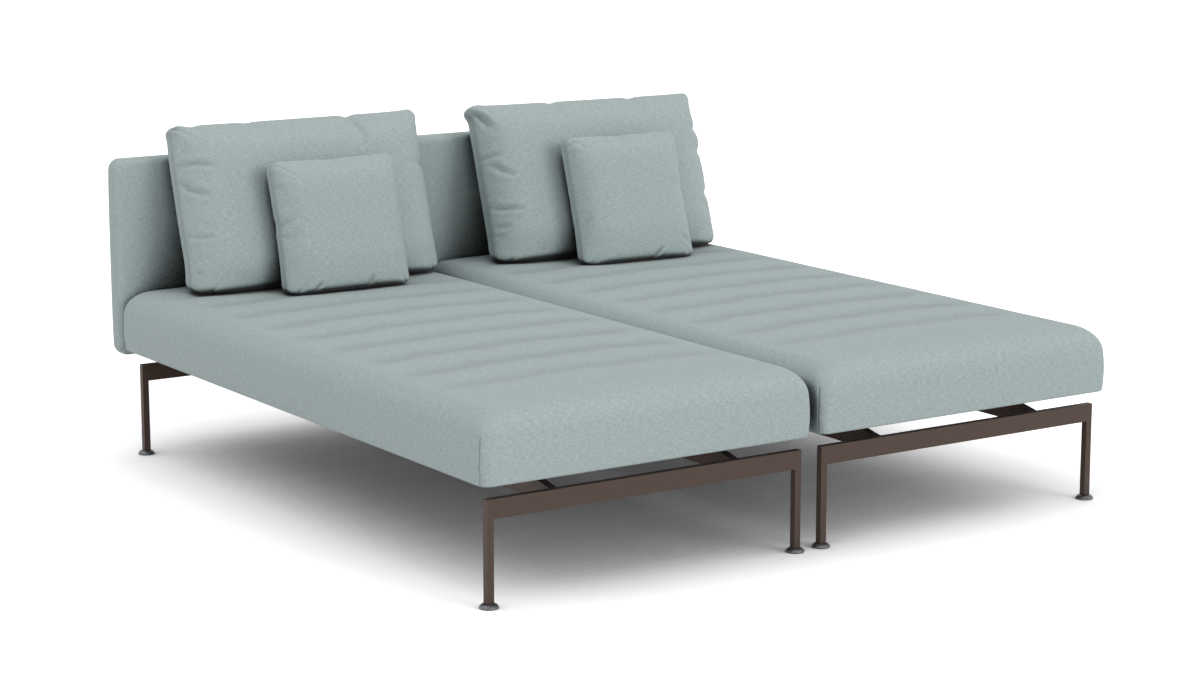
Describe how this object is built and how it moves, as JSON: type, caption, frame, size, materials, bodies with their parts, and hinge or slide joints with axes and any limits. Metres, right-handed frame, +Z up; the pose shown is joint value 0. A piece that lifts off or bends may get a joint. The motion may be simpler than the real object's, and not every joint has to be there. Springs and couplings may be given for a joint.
{
  "type": "double chaise lounger",
  "caption": "Matching upholstered chaise modules side by side on slim metal leg frames, with low padded backs, loose back cushions and small throw pillows.",
  "frame": {"origin": "on the floor, under the middle of the whole lounger's length and width", "axes": "seen from the foot end: +X to the right across both modules, +Y along the seats towards the back panels, +Z up"},
  "size_m": [1.803, 1.91, 0.8693],
  "materials": {
    "outdoor_fabric": "heathered light grey-green weave, matte",
    "frame_powder_coat": "bronze-brown powder coat, low sheen",
    "slat_aluminium": "mill finish, hidden under the cushions",
    "glide_steel": "zinc plated steel, satin grey",
    "black_nylon": "moulded, matte",
    "panel_plywood": "plain outdoor plywood, hidden inside the upholstery",
    "zinc_hardware": "zinc plated"
  },
  "bodies": {
    "base_frame": {"front_link_bar": "frame_powder_coat", "left_back_panel_board": "panel_plywood", "left_back_panel_upholstery": "outdoor_fabric", "left_crossbar_end_caps": "frame_powder_coat", "left_deck_slats": "slat_aluminium", "left_frame_bolts": "zinc_hardware", "left_front_crossbar": "frame_powder_coat", "left_front_inner_leg": "frame_powder_coat", "left_front_outer_leg": "frame_powder_coat", "left_inner_back_post": "frame_powder_coat", "left_inner_rail": "frame_powder_coat", "left_leg_inserts": "black_nylon", "left_outer_back_post": "frame_powder_coat", "left_outer_rail": "frame_powder_coat", "left_rail_brackets": "frame_powder_coat", "left_rear_crossbar": "frame_powder_coat", "left_rear_inner_leg": "frame_powder_coat", "left_rear_outer_leg": "frame_powder_coat", "left_slat_screws": "zinc_hardware", "left_weld_nuts": "zinc_hardware", "link_bolts": "zinc_hardware", "rear_link_bar": "frame_powder_coat", "right_back_panel_board": "panel_plywood", "right_back_panel_upholstery": "outdoor_fabric", "right_crossbar_end_caps": "frame_powder_coat", "right_deck_slats": "slat_aluminium", "right_frame_bolts": "zinc_hardware", "right_front_crossbar": "frame_powder_coat", "right_front_inner_leg": "frame_powder_coat", "right_front_outer_leg": "frame_powder_coat", "right_inner_back_post": "frame_powder_coat", "right_inner_rail": "frame_powder_coat", "right_leg_inserts": "black_nylon", "right_outer_back_post": "frame_powder_coat", "right_outer_rail": "frame_powder_coat", "right_rail_brackets": "frame_powder_coat", "right_rear_crossbar": "frame_powder_coat", "right_rear_inner_leg": "frame_powder_coat", "right_rear_outer_leg": "frame_powder_coat", "right_slat_screws": "zinc_hardware", "right_weld_nuts": "zinc_hardware"},
    "left_front_outer_foot": {"left_front_outer_glide": "glide_steel"},
    "left_front_inner_foot": {"left_front_inner_glide": "glide_steel"},
    "left_rear_outer_foot": {"left_rear_outer_glide": "glide_steel"},
    "left_rear_inner_foot": {"left_rear_inner_glide": "glide_steel"},
    "left_seat": {"left_seat_cushion": "outdoor_fabric"},
    "left_back": {"left_back_cushion": "outdoor_fabric"},
    "left_pillow": {"left_throw_pillow": "outdoor_fabric"},
    "right_front_outer_foot": {"right_front_outer_glide": "glide_steel"},
    "right_front_inner_foot": {"right_front_inner_glide": "glide_steel"},
    "right_rear_outer_foot": {"right_rear_outer_glide": "glide_steel"},
    "right_rear_inner_foot": {"right_rear_inner_glide": "glide_steel"},
    "right_seat": {"right_seat_cushion": "outdoor_fabric"},
    "right_back": {"right_back_cushion": "outdoor_fabric"},
    "right_pillow": {"right_throw_pillow": "outdoor_fabric"}
  },
  "joints": [
    {"name": "left_front_outer_level", "type": "slide", "parent": "base_frame", "child": "left_front_outer_foot", "axis": [0, 0, -1], "range_m": [0, 0.01]},
    {"name": "left_front_inner_level", "type": "slide", "parent": "base_frame", "child": "left_front_inner_foot", "axis": [0, 0, -1], "range_m": [0, 0.01]},
    {"name": "left_rear_outer_level", "type": "slide", "parent": "base_frame", "child": "left_rear_outer_foot", "axis": [0, 0, -1], "range_m": [0, 0.01]},
    {"name": "left_rear_inner_level", "type": "slide", "parent": "base_frame", "child": "left_rear_inner_foot", "axis": [0, 0, -1], "range_m": [0, 0.01]},
    {"name": "left_seat_cushion_lift", "type": "slide", "parent": "base_frame", "child": "left_seat", "axis": [0, 0, 1], "range_m": [0, 0.55]},
    {"name": "left_back_cushion_lift", "type": "slide", "parent": "left_seat", "child": "left_back", "axis": [0, 0, 1], "range_m": [0, 0.4]},
    {"name": "left_throw_pillow_lift", "type": "slide", "parent": "left_back", "child": "left_pillow", "axis": [0, 0, 1], "range_m": [0, 0.45]},
    {"name": "right_front_outer_level", "type": "slide", "parent": "base_frame", "child": "right_front_outer_foot", "axis": [0, 0, -1], "range_m": [0, 0.01]},
    {"name": "right_front_inner_level", "type": "slide", "parent": "base_frame", "child": "right_front_inner_foot", "axis": [0, 0, -1], "range_m": [0, 0.01]},
    {"name": "right_rear_outer_level", "type": "slide", "parent": "base_frame", "child": "right_rear_outer_foot", "axis": [0, 0, -1], "range_m": [0, 0.01]},
    {"name": "right_rear_inner_level", "type": "slide", "parent": "base_frame", "child": "right_rear_inner_foot", "axis": [0, 0, -1], "range_m": [0, 0.01]},
    {"name": "right_seat_cushion_lift", "type": "slide", "parent": "base_frame", "child": "right_seat", "axis": [0, 0, 1], "range_m": [0, 0.55]},
    {"name": "right_back_cushion_lift", "type": "slide", "parent": "right_seat", "child": "right_back", "axis": [0, 0, 1], "range_m": [0, 0.4]},
    {"name": "right_throw_pillow_lift", "type": "slide", "parent": "right_back", "child": "right_pillow", "axis": [0, 0, 1], "range_m": [0, 0.45]}
  ]
}
